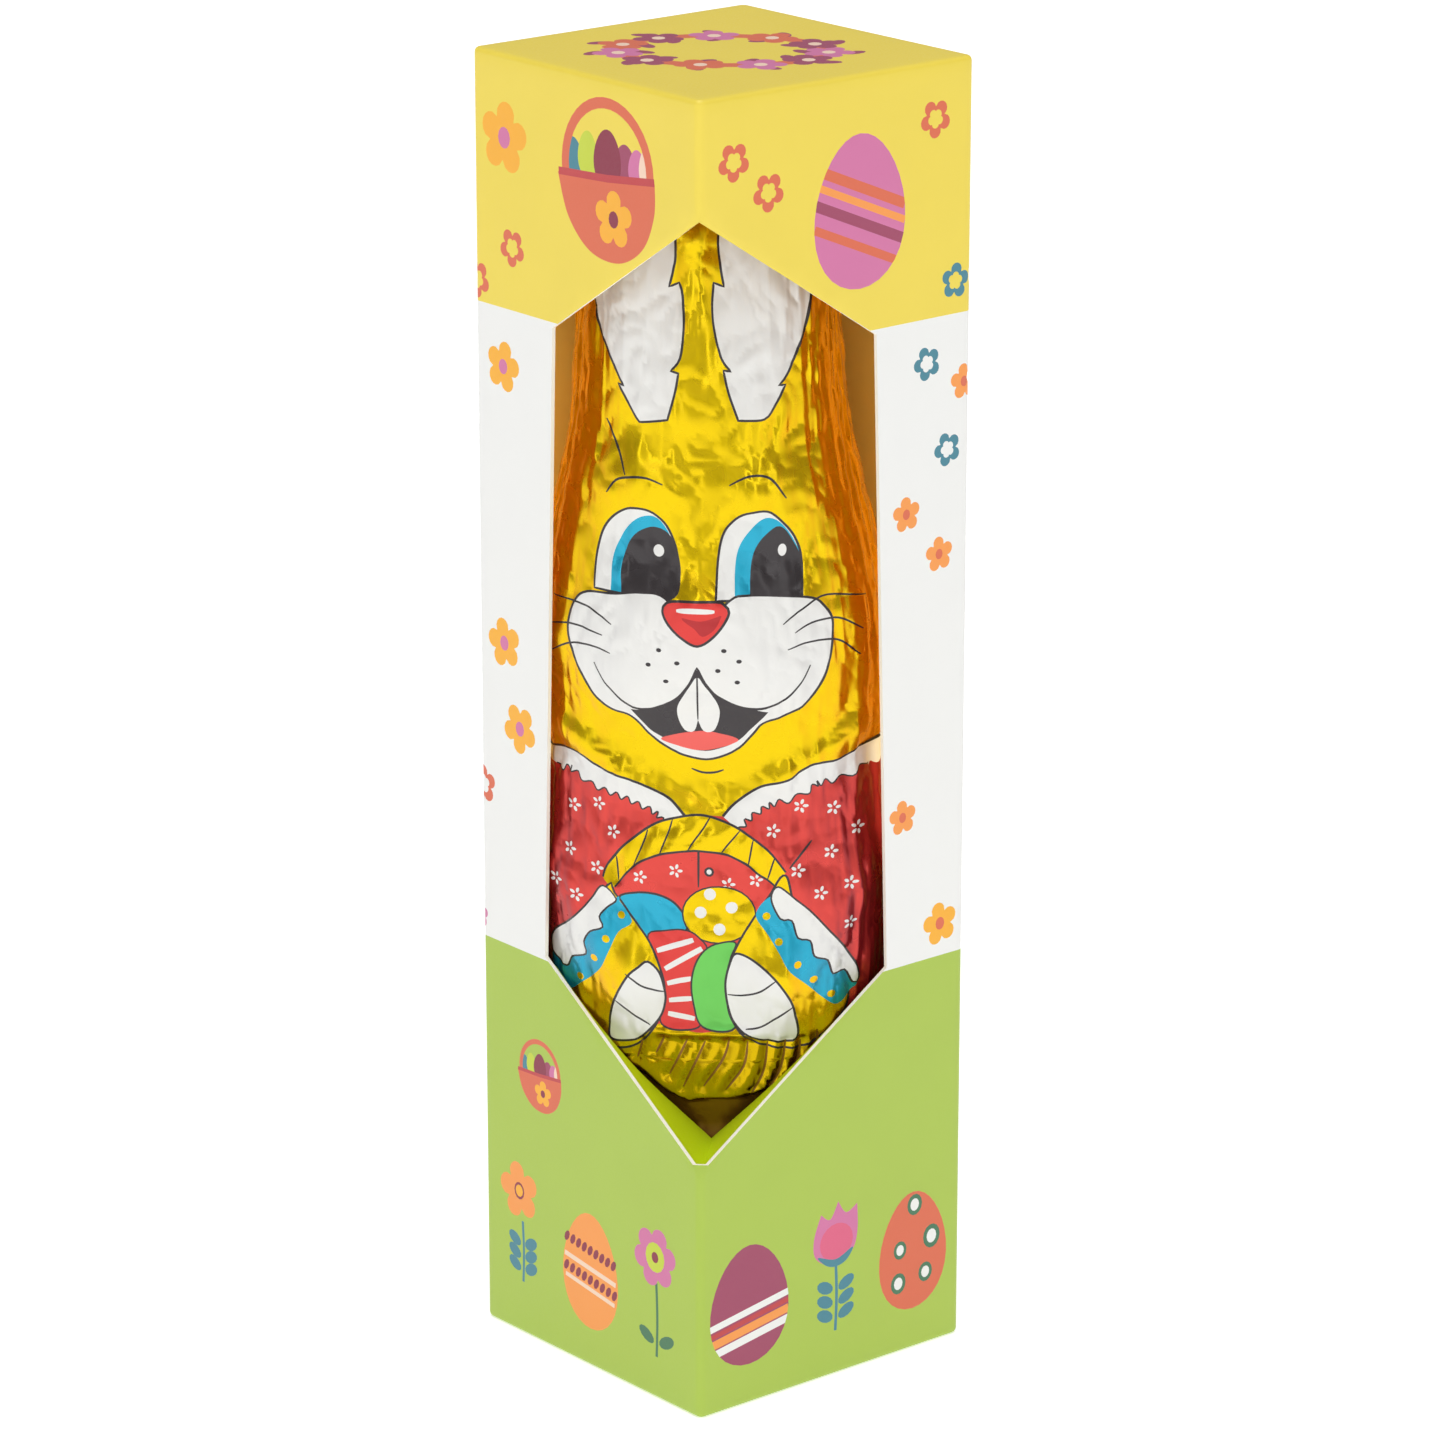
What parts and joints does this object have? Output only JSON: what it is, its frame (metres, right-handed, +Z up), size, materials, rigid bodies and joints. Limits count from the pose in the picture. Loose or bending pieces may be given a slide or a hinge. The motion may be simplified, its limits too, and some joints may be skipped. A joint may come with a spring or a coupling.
{
  "type": "foil-wrapped chocolate bunny in a windowed carton",
  "caption": "Hollow chocolate bunny in printed foil, standing in a tall square board carton with a window cut round its front edge.",
  "frame": {"origin": "centre of the carton's base, on the surface that it stands on", "axes": "+Z up; -Y towards the carton's front upright edge and the window, where the bunny looks out; +X to the bunny's left hand, the viewer's right"},
  "size_m": [0.0724, 0.0728, 0.2],
  "materials": {
    "printed_board": "coated folding board, printed yellow, white and green, satin",
    "printed_foil": "crinkled gold-lacquered foil with printed face, coat and basket"
  },
  "bodies": {
    "root": {"carton": "printed_board", "bunny": "printed_foil"}
  },
  "joints": []
}
